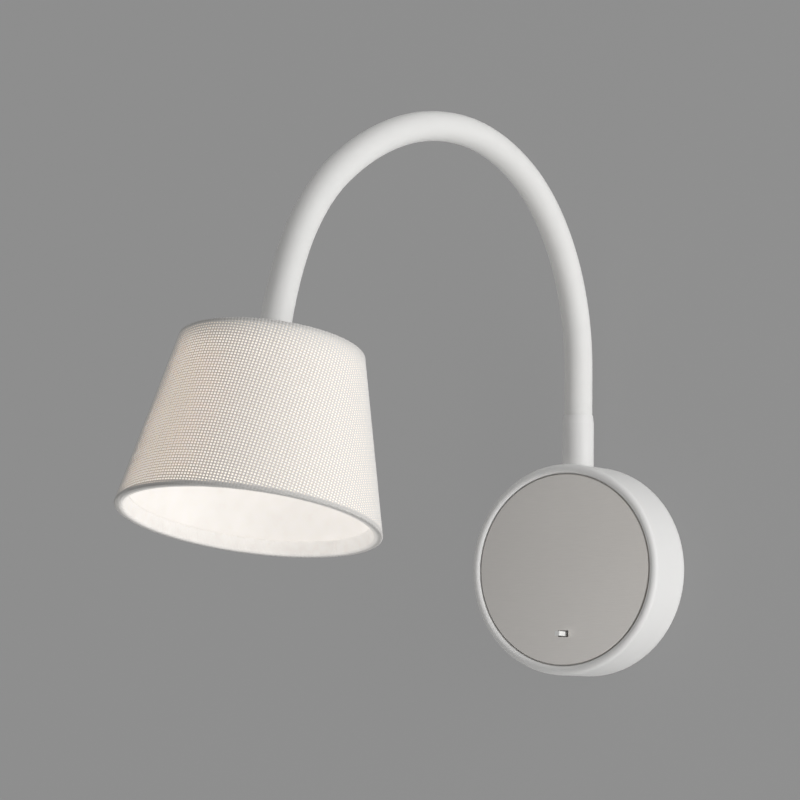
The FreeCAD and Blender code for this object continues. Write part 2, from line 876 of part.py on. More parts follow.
def driver_lid():
    low = floor + d.driver_height - d.driver_wall
    lid = block("lid", (driver_width, d.driver_length, d.driver_wall),
                (driver_left, -d.driver_length / 2, low))
    publish(group("lid_set", [lid]), "driver_lid", BASE)


def pan_screw(name, x, y, under_head, length):
    """A pan-head screw that points at the wall."""
    head = rod(name + "_head", d.screw_head_radius, d.screw_head_height, (x, y, under_head))
    shank = rod(name + "_shank", d.screw_radius, length, (x, y, under_head - length))
    return joined(name, [head, shank])


def bracket_screws():
    on_ear = floor + d.driver_ear_thickness
    in_terminal = floor + d.driver_ear_thickness
    screws = [
        pan_screw("driver_screw_upper", driver_x, ear_y, on_ear, on_ear),
        pan_screw("driver_screw_lower", driver_x, -ear_y, on_ear, on_ear),
        pan_screw("terminal_fixing", d.terminal_x, 0, in_terminal, in_terminal),
    ]
    publish(group("screws", screws), "bracket_screws", BASE)


def terminal_block():
    half_width, half_length = d.terminal_width / 2, d.terminal_length / 2
    body = block("terminal_blank", (d.terminal_width, d.terminal_length, d.terminal_height),
                 (terminal_near, -half_length, floor))
    top = floor + d.terminal_height
    well_low = top - d.terminal_screw_length - d.terminal_sink
    tools = [
        rod("fixing_hole", d.screw_radius + d.hole_gap, d.terminal_height, (d.terminal_x, 0, floor - 1)),
        rod("fixing_well", d.screw_head_radius + d.hole_gap, d.terminal_height,
            (d.terminal_x, 0, floor + d.driver_ear_thickness)),
    ]
    for x, y in terminal_places():
        tools.append(rod("terminal_well", d.terminal_screw_radius + d.hole_gap,
                         d.terminal_screw_length + 2, (x, y, well_low)))
    wire_hole = d.wire_radius + d.hole_gap
    tools += [
        rod("live_entry", wire_hole, 3, (live_x, -half_length - 1, d.terminal_wire_height), "y"),
        rod("neutral_entry", wire_hole, 3,
            (terminal_near - 1, neutral_start_y, d.terminal_wire_height), "x"),
        rod("earth_entry", wire_hole, 3, (d.terminal_x, half_length - 2, d.terminal_wire_height), "y"),
    ]
    publish(cut("terminal", body, tools), "terminal_block", BASE)


def terminal_places():
    across = d.terminal_width / 2 - d.terminal_screw_radius * 2
    return [(d.terminal_x + across * side, d.terminal_pitch * row)
            for side in (-1, 1) for row in (-1, 0, 1)]


def terminal_screws():
    low = floor + d.terminal_height - d.terminal_screw_length - d.terminal_sink
    screws = [rod("clamp_screw", d.terminal_screw_radius, d.terminal_screw_length, (x, y, low))
              for x, y in terminal_places()]
    publish(group("clamp_screws", screws), "terminal_screws", BASE)


def earth_screw():
    screw = pan_screw("earth", d.terminal_x, d.earth_y, floor + d.washer_thickness,
                      floor + d.washer_thickness)
    washer = rod("earth_washer", d.screw_head_radius + d.earth_washer_rim, d.washer_thickness,
                 (d.terminal_x, d.earth_y, floor))
    publish(joined("earth_set", [screw, washer]), "earth_screw", BASE)


live_x = d.terminal_x - d.terminal_pitch
neutral_start_y = d.terminal_pitch
earth_rim = d.earth_y - d.screw_head_radius - d.earth_washer_rim
switch_pin_x = d.switch_length / 4


def wires():
    half_length = d.terminal_length / 2
    bite, straight = d.wire_bite, d.wire_straight
    in_driver = driver_near - d.driver_wall - bite
    live_height = d.terminal_wire_height + d.live_wire_rise
    routes = {
        "live_wire": [
            (live_x, bite - half_length, d.terminal_wire_height),
            (live_x, -half_length - straight, d.terminal_wire_height),
            (switch_pin_x, -switch_drop, live_height),
            (switch_pin_x, -switch_drop, switch_back),
        ],
        "switched_wire": [
            (-switch_pin_x, -switch_drop, switch_back),
            (-switch_pin_x, -switch_drop, d.driver_wire_height),
            (-switch_pin_x, -switched_entry_y, d.driver_wire_height),
            (in_driver, -switched_entry_y, d.driver_wire_height),
        ],
        "neutral_wire": [
            (terminal_near + bite, neutral_start_y, d.terminal_wire_height),
            (terminal_near - straight, neutral_start_y, d.terminal_wire_height),
            (driver_near + straight, d.neutral_entry_y, d.driver_wire_height),
            (in_driver, d.neutral_entry_y, d.driver_wire_height),
        ],
        "earth_wire": [
            (d.terminal_x, half_length - bite, d.terminal_wire_height),
            (d.terminal_x, half_length + d.earth_wire_straight, d.terminal_wire_height),
            (d.terminal_x, earth_rim - d.wire_radius, floor + d.wire_radius),
        ],
    }
    for node, route in routes.items():
        points = [base_point(x, y, z) for x, y, z in route]
        solid = wire_tube(points, d.wire_radius.value, d.wire_bend.value)
        publish(shaped(node, solid), node, FreeCAD.Placement())


# ---------------------------------------------------------------- slide switch


def switch_body():
    half_length, half_width = d.switch_length / 2, d.switch_width / 2
    low_y = -switch_drop - half_width
    case = block("switch_case", (d.switch_length, d.switch_width, d.switch_height),
                 (-half_length, low_y, switch_back))
    ear_span = d.switch_length + d.switch_ear * 2
    ears = block("switch_ears", (ear_span, d.switch_width, d.switch_ear_thickness),
                 (-ear_span / 2, low_y, disc_back - d.switch_ear_thickness))
    run = d.lever_travel + d.lever_gap
    cavity_x = d.slider_length / 2 + run
    cavity_y = d.slider_width / 2 + d.lever_gap
    throat_x = d.lever_width / 2 + run
    throat_y = d.lever_height / 2 + d.lever_gap
    cavity_low = switch_back + d.switch_skin
    cavity_height = d.switch_height - d.switch_skin * 2
    tools = [
        block("switch_cavity", (cavity_x * 2, cavity_y * 2, cavity_height),
              (-cavity_x, -switch_drop - cavity_y, cavity_low)),
        block("switch_throat", (throat_x * 2, throat_y * 2, d.switch_height),
              (-throat_x, -switch_drop - throat_y, cavity_low)),
    ]
    for side in (-1, 1):
        tools.append(rod("switch_hole", d.switch_screw_radius + d.hole_gap, 6,
                         (switch_screw_x * side, -switch_drop, disc_back - 4)))
    publish(cut("switch", joined("switch_blank", [case, ears]), tools), "switch_body", BASE)


def switch_screws():
    under_head = disc_back - d.switch_ear_thickness
    screws = []
    for side in (-1, 1):
        at = (switch_screw_x * side, -switch_drop)
        head = rod("switch_screw_head", d.switch_screw_head, d.switch_screw_head_height,
                   at + (under_head - d.switch_screw_head_height,))
        shank = rod("switch_screw_shank", d.switch_screw_radius,
                    d.switch_ear_thickness + d.switch_screw_bite, at + (under_head,))
        screws.append(joined("switch_screw", [head, shank]))
    publish(group("switch_screw_pair", screws), "switch_screws", BASE)


def switch_lever():
    slider_low = disc_back - d.switch_skin - d.lever_gap - d.slider_height
    slider = block("slider", (d.slider_length, d.slider_width, d.slider_height),
                   (-d.slider_length / 2, -switch_drop - d.slider_width / 2, slider_low))
    stem_height = disc_front + d.lever_reach - slider_low
    stem = block("stem", (d.lever_width, d.lever_height, stem_height),
                 (-d.lever_width / 2, -switch_drop - d.lever_height / 2, slider_low))
    publish(joined("lever", [slider, stem]), "switch_lever", BASE)


# ---------------------------------------------------------------- head and shade

shade_slope = d.shade_flare / d.shade_height
plate_low = -d.top_plate_thickness
sink_low = plate_low - d.sink_height
board_low = sink_low - d.board_thickness
liner_offset = d.fabric_thickness + d.glue_gap


def cone_radius(inset, height):
    """Radius of the shade's cone, drawn in by an inset, at a height of the head's frame."""
    return d.shade_top_radius - inset - shade_slope * height


def head_ferrule():
    collar = turned("head_collar", ferrule_outline(d.head_ferrule_height, d.head_anchor))
    publish(collar, "head_ferrule", HEAD)


def head_nipple():
    length = d.head_anchor + d.top_plate_thickness + d.head_nipple_tail
    low = d.head_anchor - length
    tube = rod("head_tube", d.nipple_radius, length, (0, 0, low))
    bore = rod("head_tube_bore", d.nipple_bore_radius, length + 2, (0, 0, low - 1))
    publish(cut("head_nipple_cut", tube, [bore]), "head_nipple", HEAD)


def shade_top_plate():
    rim = cone_radius(liner_offset + d.liner_thickness + d.glue_gap, 0)
    hole = d.nipple_radius + d.thread_gap
    plate = turned("plate", [
        (hole, plate_low),
        (rim - d.top_plate_thickness, plate_low),
        (rim - d.top_plate_thickness, -d.top_flange),
        (rim, -d.top_flange),
        (rim, 0),
        (hole, 0),
    ])
    publish(plate, "shade_top_plate", HEAD)


def fabric_shade():
    t = d.fabric_thickness
    low = -d.shade_height
    hem_in = d.hem_width - t
    fabric = turned("fabric", [
        (cone_radius(0, low), low),
        (cone_radius(0, t), t),
        (d.shade_top_radius - d.fabric_fold, t),
        (d.shade_top_radius - d.fabric_fold, 0),
        (cone_radius(t, 0), 0),
        (cone_radius(t, low + t), low + t),
        (cone_radius(hem_in, low + t), low + t),
        (cone_radius(hem_in, low + d.hem_height), low + d.hem_height),
        (cone_radius(d.hem_width, low + d.hem_height), low + d.hem_height),
        (cone_radius(d.hem_width, low), low),
    ])
    edges = [(cone_radius(0, low), low), (cone_radius(0, t), t)]
    soften(fabric, "Fillet", edges, d.hem_edge)
    publish(fabric, "fabric_shade", HEAD)


def shade_liner():
    outer, inner = liner_offset, liner_offset + d.liner_thickness
    low = d.fabric_thickness + d.hem_ring_radius * 2 + d.hole_gap * 2 - d.shade_height
    liner = turned("liner", [
        (cone_radius(outer, 0), 0),
        (cone_radius(inner, 0), 0),
        (cone_radius(inner, low), low),
        (cone_radius(outer, low), low),
    ])
    publish(liner, "shade_liner", HEAD)


def hem_ring():
    height = d.fabric_thickness + d.hem_ring_radius + d.glue_gap - d.shade_height
    ring = doc.addObject("Part::Torus", "ring")
    middle = (d.fabric_thickness + d.hem_width - d.fabric_thickness) / 2
    ring.setExpression("Radius1", cone_radius(middle, height).text)
    ring.setExpression("Radius2", d.hem_ring_radius.text)
    place(ring, (0, 0, height))
    publish(group("ring_set", [ring]), "hem_ring", HEAD)


def heat_sink():
    """A turned core and base with fins standing round the core."""
    thread = d.nipple_radius + d.thread_gap
    thread_end = plate_low - d.head_nipple_tail - d.hole_gap
    lead_hole = d.lead_radius + d.hole_gap
    base_top = sink_low + d.sink_base
    sink = turned("sink", [
        (thread, plate_low),
        (d.sink_core_radius, plate_low),
        (d.sink_core_radius, base_top),
        (d.sink_radius, base_top),
        (d.sink_radius, sink_low),
        (lead_hole, sink_low),
        (lead_hole, thread_end),
        (thread, thread_end),
    ])
    fin = flat_sketch(sink, "XZ_Plane")
    inner, outer = d.sink_core_radius - 1, d.sink_radius - d.lens_lip
    fin_top = plate_low - d.fin_gap
    draw_outline(fin, [(inner, base_top - 1), (outer, base_top - 1), (outer, fin_top), (inner, fin_top)])
    pattern(sink, pad(sink, fin, d.fin_thickness, both_ways=True), FINS)
    holes = [rod("sink_thread", d.screw_radius + d.thread_gap, d.sink_base,
                 led_screw_place(side) + (sink_low - 1,)) for side in (-1, 1)]
    publish(cut("sink_with_threads", sink, holes), "heat_sink", HEAD)


def led_screw_place(side):
    return d.led_screw_reach * side, as_size(0)


def led_board():
    board = rod("led_blank", d.board_radius, d.board_thickness, (0, 0, board_low))
    holes = [rod("led_hole", d.screw_radius + d.hole_gap, d.board_thickness + 2,
                 led_screw_place(side) + (board_low - 1,)) for side in (-1, 1)]
    publish(cut("led_board_cut", board, holes), "led_board", HEAD)


def led_emitters():
    half = d.emitter_size / 2
    chips = []
    for number in range(EMITTERS):
        x, y = polar(d.emitter_ring_radius, 360.0 / EMITTERS * (number + 0.5))
        chips.append(block("emitter", (d.emitter_size, d.emitter_size, d.emitter_height),
                           (x - half, y - half, board_low - d.emitter_height)))
    publish(group("emitters", chips), "led_emitters", HEAD)


def led_screws():
    screws = []
    bite = d.sink_base - 1
    for side in (-1, 1):
        x, y = led_screw_place(side)
        head = rod("led_screw_head", d.screw_head_radius, d.screw_head_height,
                   (x, y, board_low - d.screw_head_height))
        shank = rod("led_screw_shank", d.screw_radius, d.board_thickness + bite, (x, y, board_low))
        screws.append(joined("led_screw", [head, shank]))
    publish(group("led_screw_pair", screws), "led_screws", HEAD)


def lens():
    """An opal cap that snaps over the rim of the heat sink's base."""
    inner = d.sink_radius + d.thread_gap
    outer = inner + d.lens_wall
    top = sink_low + d.sink_base
    low = top - d.lens_depth
    cap = turned("cap", [
        (inner, top),
        (outer, top),
        (outer, low + d.lens_bevel),
        (outer - d.lens_bevel, low),
        (0, low),
        (0, low + d.lens_wall),
        (inner - d.lens_bevel, low + d.lens_wall),
        (inner, low + d.lens_bevel + d.lens_wall),
    ])
    publish(cap, "lens", HEAD)


# ---------------------------------------------------------------- the whole lamp

for build in (
    wall_bracket, cable_bush, base_housing, front_disc, disc_nuts, housing_grub_screws,
    neck_nipple, neck_washer, neck_nut, neck_ferrule, neck_parts,
    driver_case, driver_board, driver_lid, bracket_screws, terminal_block, terminal_screws,
    earth_screw, wires, switch_body, switch_screws, switch_lever,
    head_ferrule, head_nipple, shade_top_plate, fabric_shade, shade_liner, hem_ring,
    heat_sink, led_board, led_emitters, led_screws, lens,
):
    build()
doc.recompute()

for item in doc.Objects:
    if "Invalid" in item.State or "Error" in item.State:
        raise RuntimeError("%s is not sound: %s" % (item.Label, item.State))
for item in nodes:
    if item.Shape.isNull() or not item.Shape.isValid():
        raise RuntimeError("%s has no valid shape" % item.Label)

os.makedirs("parts", exist_ok=True)
for item in nodes:
    item.Shape.exportStep("parts/%s.step" % item.Label)
print("%d sub-parts" % len(nodes))
for number, station in enumerate(stations):
    print("station %d: y %.3f z %.3f heading %.1f" % (number, station.y, station.z, station.heading))
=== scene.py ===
import json
import math

import bmesh
import bpy
import numpy as np
from mathutils import Matrix, Vector


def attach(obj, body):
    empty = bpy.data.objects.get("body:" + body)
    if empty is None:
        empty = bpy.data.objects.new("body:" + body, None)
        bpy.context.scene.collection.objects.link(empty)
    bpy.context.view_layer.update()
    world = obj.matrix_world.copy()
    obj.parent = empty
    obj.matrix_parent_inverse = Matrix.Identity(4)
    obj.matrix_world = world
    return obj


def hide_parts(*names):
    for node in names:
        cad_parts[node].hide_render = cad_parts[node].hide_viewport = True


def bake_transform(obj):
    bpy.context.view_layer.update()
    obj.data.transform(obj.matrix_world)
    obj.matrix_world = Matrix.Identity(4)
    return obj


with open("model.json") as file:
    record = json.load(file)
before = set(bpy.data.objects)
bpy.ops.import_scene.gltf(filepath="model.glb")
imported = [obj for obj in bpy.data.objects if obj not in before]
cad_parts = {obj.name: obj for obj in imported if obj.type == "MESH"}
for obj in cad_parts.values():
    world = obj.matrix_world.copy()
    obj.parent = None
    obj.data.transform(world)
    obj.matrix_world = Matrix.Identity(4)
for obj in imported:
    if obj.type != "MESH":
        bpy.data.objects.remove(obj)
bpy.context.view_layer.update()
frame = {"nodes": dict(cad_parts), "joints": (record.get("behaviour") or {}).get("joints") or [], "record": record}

MM = 0.001
NODES = frame["nodes"]

# The wall is the plane Y = 0, the lamp stands out from it towards -Y, and Z is up.

# ---------------------------------------------------------------- node trees

# The places of the sockets that a Mix node of colours uses.
MIX_FACTOR, MIX_FIRST, MIX_SECOND, MIX_RESULT = 0, 6, 7, 2


class Tree:
    """A material's node tree, built from short calls that hand back output sockets."""

    def __init__(self, name):
        self.material = bpy.data.materials.new(name)
        self.material.use_nodes = True
        self.tree = self.material.node_tree
        self.tree.nodes.clear()

    def node(self, kind, inputs=(), **settings):
        made = self.tree.nodes.new(kind)
        for key, value in settings.items():
            setattr(made, key, value)
        for key, value in dict(inputs).items():
            self.feed(made.inputs[key], value)
        return made

    def feed(self, socket, value):
        if isinstance(value, bpy.types.NodeSocket):
            self.tree.links.new(value, socket)
        else:
            socket.default_value = value

    def math(self, operation, *values, clamp=False):
        made = self.node("ShaderNodeMath", enumerate(values), operation=operation, use_clamp=clamp)
        return made.outputs[0]

    def where(self):
        """Position in the piece's own frame, in metres."""
        return self.node("ShaderNodeTexCoord").outputs["Object"]

    def stretched(self, scale):
        return self.node("ShaderNodeMapping", {"Vector": self.where(), "Scale": scale}).outputs[0]

    def noise(self, scale, detail=2.0, vector=None):
        made = self.node("ShaderNodeTexNoise", {"Vector": vector or self.where(), "Scale": scale,
                                                "Detail": detail})
        return made.outputs["Fac"]

    def spread(self, value, low, high, start=0.3, end=0.7):
        """Map a noise value to a range of numbers."""
        made = self.node("ShaderNodeMapRange", {"Value": value, "From Min": start, "From Max": end,
                                                "To Min": low, "To Max": high})
        return made.outputs[0]

    def blend(self, factor, first, second):
        """Mix two colours, each given as a tuple or a socket."""
        first, second = [(*end, 1) if isinstance(end, tuple) else end for end in (first, second)]
        ends = {MIX_FACTOR: factor, MIX_FIRST: first, MIX_SECOND: second}
        return self.node("ShaderNodeMix", ends, data_type="RGBA").outputs[MIX_RESULT]

    def bump(self, height, distance, below=None):
        made = self.node("ShaderNodeBump", {"Height": height, "Distance": distance,
                                            "Strength": 1.0})
        if below:
            self.feed(made.inputs["Normal"], below)
        return made.outputs[0]

    def finish(self, **inputs):
        """End in a Principled shader. Underscores in the names stand for spaces."""
        values = {key.replace("_", " "): value for key, value in inputs.items()}
        for key, value in values.items():
            if isinstance(value, tuple) and len(value) == 3:
                values[key] = (*value, 1)
        shader = self.node("ShaderNodeBsdfPrincipled", values)
        self.node("ShaderNodeOutputMaterial", {"Surface": shader.outputs[0]})
        return self.material


def shade(color, factor):
    return tuple(min(1.0, part * factor) for part in color)


# ---------------------------------------------------------------- finishes


def powder_coat(name, color):
    """Sprayed enamel with a fine orange peel."""
    t = Tree(name)
    peel = t.noise(650, 3)
    tone = t.blend(t.noise(35), shade(color, 0.985), shade(color, 1.01))
    return t.finish(Base_Color=tone, Roughness=t.spread(t.noise(180), 0.40, 0.50),
                    Specular_IOR_Level=0.42, Normal=t.bump(peel, 0.000018))


# The brushed metal is painted lighter evenly across the piece, along this way and within this reach: a painted
# reflection, brighter towards one side.
PAINTED_SHEEN_WAY = (1.43, 0.0, -0.64)
PAINTED_SHEEN_REACH = 0.07


def brushed(name, color, grain, low, high, depth):
    """Metal with a fine grain along one way of the piece's frame, and a painted reflection that makes it lighter
    towards one side.
    """
    t = Tree(name)
    lines = t.noise(1.0, 4, t.stretched(grain))
    slope = t.node("ShaderNodeVectorMath", {0: t.where(), 1: PAINTED_SHEEN_WAY},
                   operation="DOT_PRODUCT").outputs["Value"]
    # Painted reflection: the colour runs from darker to lighter along one way across the piece.
    sheen_ramp = t.spread(slope, 0.0, 1.0, -PAINTED_SHEEN_REACH, PAINTED_SHEEN_REACH)
    ground = t.blend(sheen_ramp, shade(color, 0.84), shade(color, 1.12))
    tone = t.blend(t.spread(lines, 0.0, 0.09), ground, (0.30, 0.29, 0.275))
    rough = t.math("ADD", t.spread(lines, low, high), t.spread(t.noise(22), -0.015, 0.02))
    return t.finish(Base_Color=tone, Metallic=1.0, Roughness=rough, Normal=t.bump(lines, depth))


def plated(name, color, low, high):
    """Turned or pressed metal with faint pits and cloudy plating."""
    t = Tree(name)
    cloud = t.noise(90, 3)
    tone = t.blend(cloud, shade(color, 0.86), shade(color, 1.06))
    return t.finish(Base_Color=tone, Metallic=1.0, Roughness=t.spread(cloud, low, high),
                    Normal=t.bump(t.noise(1400, 2), 0.000008))


def cast_metal(name, color):
    t = Tree(name)
    skin = t.noise(900, 4)
    tone = t.blend(t.noise(60, 3), shade(color, 0.8), shade(color, 1.05))
    return t.finish(Base_Color=tone, Metallic=1.0, Roughness=t.spread(skin, 0.42, 0.62),
                    Normal=t.bump(skin, 0.00005))


def silicone(name, color):
    """Soft matt rubber: a dry bloom over a faint lengthwise flow."""
    t = Tree(name)
    bloom = t.noise(120, 4)
    tone = t.blend(bloom, shade(color, 0.975), shade(color, 1.015))
    skin = t.bump(t.noise(1600, 3), 0.000012)
    return t.finish(Base_Color=tone, Roughness=t.spread(bloom, 0.52, 0.64),
                    Specular_IOR_Level=0.35, Sheen_Weight=0.12, Sheen_Roughness=0.5,
                    Normal=t.bump(t.noise(140, 2), 0.00002, skin))


def moulded(name, color, low, high, grain=0.000012):
    """Moulded plastic with a fine spark-eroded grain."""
    t = Tree(name)
    grains = t.noise(2200, 2)
    tone = t.blend(t.noise(70), shade(color, 0.94), shade(color, 1.05))
    return t.finish(Base_Color=tone, Roughness=t.spread(grains, low, high), Specular_IOR_Level=0.45,
                    Normal=t.bump(grains, grain))


def circuit_board(name, mask, track):
    """Solder mask over copper tracks that show as a slightly raised pattern."""
    t = Tree(name)
    tracks = t.node("ShaderNodeTexBrick", {"Vector": t.where(), "Scale": 190.0, "Mortar Size": 0.03,
                                           "Color1": (0, 0, 0, 1), "Color2": (0, 0, 0, 1),
                                           "Mortar": (1, 1, 1, 1)}).outputs["Fac"]
    weave = t.noise(2500, 1)
    return t.finish(Base_Color=t.blend(tracks, mask, track), Roughness=t.spread(weave, 0.3, 0.42),
                    Coat_Weight=0.3, Normal=t.bump(tracks, 0.00004))


def shining_or_painted_glow(name, color, warmth, strength):
    """Plastic that shines, with a faint haze in it: the lamp's opal lens and phosphor, or a liner whose glow is
    painted light.
    """
    t = Tree(name)
    haze = t.noise(160, 3)
    return t.finish(Base_Color=t.blend(haze, shade(color, 0.95), color),
                    Roughness=t.spread(haze, 0.38, 0.5), Emission_Color=warmth,
                    Emission_Strength=t.spread(haze, strength * 0.94, strength * 1.04))


def cable(name, color):
    t = Tree(name)
    drawn = t.noise(500, 3)
    return t.finish(Base_Color=t.blend(t.noise(80), shade(color, 0.92), shade(color, 1.04)),
                    Roughness=t.spread(drawn, 0.34, 0.46), Normal=t.bump(drawn, 0.00001))


def striped_cable(name, first, second):
    t = Tree(name)
    wave = t.node("ShaderNodeTexWave", {"Vector": t.where(), "Scale": 90.0, "Distortion": 1.5},
                  bands_direction="DIAGONAL").outputs["Fac"]
    stripes = t.spread(wave, 0, 1, 0.45, 0.55)
    return t.finish(Base_Color=t.blend(stripes, first, second),
                    Roughness=t.spread(wave, 0.36, 0.44))


# The cloth's own lattice, measured on the flat cloth: across the shade and down it.
WEAVE_ACROSS = 1.436 * MM
WEAVE_DOWN = 1.273 * MM

# The cloth's attribute: the place on the flat cloth, and the strength of the painted glow that stands for the lamp
# shining through.
# It is negative on the hem's return, where it gives the strength of the painted light that stands for the lamp
# shining on it.
CLOTH = "cloth"
ON_RETURN = -0.01

# Tones are factors on the thread's colour. Shares say how much of a second colour comes through.
HOLE_SHARPNESS = 3.0
# The holes are painted dark: painted shade in the gaps of the weave.
PAINTED_HOLE_SHADE_SHARE = 0.92
SLUB_TONE = 0.86
# Painted shade: the cloth is painted darker towards the hem and the top fold, where the painted glow fades.
PAINTED_FOLD_STEEPNESS = 3.0
PAINTED_FOLD_SHADE_SHARE = 0.8
PAINTED_FOLD_SHADE = 0.76
# Painted shade and light on the hem's return: its cloth is painted darker, and a painted light stands for the lamp
# shining on it.
PAINTED_RETURN_TONE = 0.62
# Painted glow in the holes, standing for the lamp shining through the cloth.
PAINTED_HOLE_LIGHT = 2.75
PAINTED_HOLE_GLOW = (1.0, 0.85, 0.68)
PAINTED_THREAD_GLOW = (0.0, 0.0, 0.0)
PAINTED_RETURN_LIGHT = (0.192, 0.184, 0.175)


def woven(name, thread, hole_shade):
    """Open basket weave. A painted glow stands for the lamp shining through its holes and on the hem's return;
    its holes, folds and return also carry painted shade.
    """
    t = Tree(name)
    read = t.node("ShaderNodeAttribute", attribute_name=CLOTH, attribute_type="GEOMETRY")
    split = t.node("ShaderNodeSeparateXYZ", {0: read.outputs["Vector"]})
    across, down, lit = split.outputs

    def rise(place, pitch):
        turn = t.math("COSINE", t.math("MULTIPLY", place, math.tau / pitch))
        return t.math("MULTIPLY_ADD", turn, 0.5, 0.5)

    gap = t.math("MULTIPLY", rise(across, WEAVE_ACROSS), rise(down, WEAVE_DOWN))
    hole = t.math("POWER", gap, HOLE_SHARPNESS)
    open_hole = t.math("MULTIPLY", hole, t.math("GREATER_THAN", lit, ON_RETURN))
    fibre = t.noise(1.0, 3, t.stretched((5200, 5200, 1500)))
    slub = t.noise(240, 3)
    # Painted shade: the holes take the dark colour.
    tone = t.blend(t.math("MULTIPLY", open_hole, PAINTED_HOLE_SHADE_SHARE), thread, hole_shade)
    tone = t.blend(t.spread(slub, 0.0, 0.16), tone, shade(thread, SLUB_TONE))
    # Painted shade towards the hem and the top fold.
    shone = t.math("MULTIPLY", t.math("ABSOLUTE", lit), PAINTED_FOLD_STEEPNESS)
    painted_fold_mask = t.math("SUBTRACT", 1.0, shone, clamp=True)
    tone = t.blend(t.math("MULTIPLY", painted_fold_mask, PAINTED_FOLD_SHADE_SHARE), tone, shade(thread, PAINTED_FOLD_SHADE))
    # Painted shade on the hem's return, under its painted light.
    returned = t.math("MULTIPLY", lit, -1.0, clamp=True)
    tone = t.blend(returned, tone, shade(thread, PAINTED_RETURN_TONE))
    # Painted glow: emission in the holes, and painted light on the hem's return.
    glow = t.blend(hole, PAINTED_THREAD_GLOW, PAINTED_HOLE_GLOW)
    glow = t.blend(t.math("LESS_THAN", lit, ON_RETURN), glow, PAINTED_RETURN_LIGHT)
    through = t.math("MULTIPLY", t.math("ABSOLUTE", lit), t.spread(slub, 0.93, 1.07))
    return t.finish(
        Base_Color=tone, Roughness=t.spread(fibre, 0.78, 0.95), Specular_IOR_Level=0.2,
        Sheen_Weight=0.25, Sheen_Roughness=0.45,
        Emission_Color=glow, Emission_Strength=t.math("MULTIPLY", through, PAINTED_HOLE_LIGHT),
        Normal=t.bump(fibre, 0.00002),
    )


FINISHES = {
    "white_enamel": powder_coat("white_enamel", (0.83, 0.825, 0.815)),
    "satin_nickel": brushed("satin_nickel", (0.75, 0.725, 0.695), (140, 140, 9000), 0.38, 0.43,
                            0.0000015),
    "zinc_steel": plated("zinc_steel", (0.62, 0.64, 0.66), 0.3, 0.44),
    "white_silicone": silicone("white_silicone", (0.83, 0.825, 0.81)),
    # The cloth's second colour is painted shade in its holes.
    "woven_fabric": woven("woven_fabric", (0.82, 0.80, 0.775), (0.25, 0.23, 0.21)),
    # The liner is no lamp: its glow is painted light for the lamp shining on it, and its colour is painted darker
    # under it.
    "white_liner": shining_or_painted_glow("white_liner", (0.46, 0.45, 0.435), (1.0, 0.955, 0.91), 0.58),
    "white_plastic": moulded("white_plastic", (0.88, 0.88, 0.865), 0.24, 0.32, 0.000005),
    "black_plastic": moulded("black_plastic", (0.03, 0.03, 0.032), 0.45, 0.6),
    "grey_plastic": moulded("grey_plastic", (0.33, 0.34, 0.35), 0.45, 0.6),
    "brass_thread": plated("brass_thread", (0.78, 0.60, 0.30), 0.22, 0.36),
    "die_cast_aluminium": cast_metal("die_cast_aluminium", (0.72, 0.73, 0.74)),
    "board_green": circuit_board("board_green", (0.02, 0.13, 0.06), (0.04, 0.22, 0.10)),
    "board_white": circuit_board("board_white", (0.84, 0.84, 0.82), (0.76, 0.76, 0.73)),
    "phosphor": shining_or_painted_glow("phosphor", (0.95, 0.78, 0.30), (1.0, 0.80, 0.50), 4.0),
    "opal_lens": shining_or_painted_glow("opal_lens", (0.42, 0.41, 0.40), (1.0, 0.92, 0.82), 0.78),
    "cable_white": cable("cable_white", (0.82, 0.82, 0.81)),
    "cable_brown": cable("cable_brown", (0.24, 0.10, 0.045)),
    "cable_black": cable("cable_black", (0.03, 0.03, 0.03)),
    "cable_blue": cable("cable_blue", (0.05, 0.16, 0.55)),
    "cable_earth": striped_cable("cable_earth", (0.16, 0.42, 0.06), (0.80, 0.68, 0.05)),
}

for row in frame["record"]["subparts"]:
    piece = NODES[row["node"]]
    piece.data.materials.clear()
    piece.data.materials.append(FINISHES[row["material_slot"]])


# The lever is moulded, so its sharp edges are rounded.
rounding = NODES["switch_lever"].modifiers.new("edges", "BEVEL")
rounding.width = 0.55 * MM
rounding.segments = 4
rounding.limit_method = "ANGLE"
rounding.angle_limit = math.radians(40)

# ---------------------------------------------------------------- meshes


def grid_mesh(name, rows, closed_down=True, closed_round=True):
    """A mesh from an array of points [down, round, 3], with quads between neighbours."""
    down, around = rows.shape[:2]
    index = np.arange(down * around).reshape(down, around)
    here = index if closed_down else index[:-1]
    below = np.roll(index, -1, 0) if closed_down else index[1:]
    if closed_round:
        right, below_right = np.roll(here, -1, 1), np.roll(below, -1, 1)
        left, below_left = here, below
    else:
        left, right = here[:, :-1], here[:, 1:]
        below_left, below_right = below[:, :-1], below[:, 1:]
    faces = np.stack([left, right, below_right, below_left], -1).reshape(-1, 4)
    mesh = bpy.data.meshes.new(name)
    mesh.vertices.add(down * around)
    mesh.vertices.foreach_set("co", rows.reshape(-1).astype(np.float32))
    mesh.loops.add(faces.size)
    mesh.loops.foreach_set("vertex_index", faces.reshape(-1).astype(np.int32))
    mesh.polygons.add(len(faces))
    mesh.polygons.foreach_set("loop_start", np.arange(0, faces.size, 4, dtype=np.int32))
    mesh.polygons.foreach_set("use_smooth", np.ones(len(faces), bool))
    mesh.update(calc_edges=True)
    return mesh


def show(mesh, slot):
    """Make a visible piece of the lamp from a mesh."""
    piece = bpy.data.objects.new(mesh.name, mesh)
    bpy.context.scene.collection.objects.link(piece)
    mesh.materials.append(FINISHES[slot])
    return piece


# ---------------------------------------------------------------- flexible neck

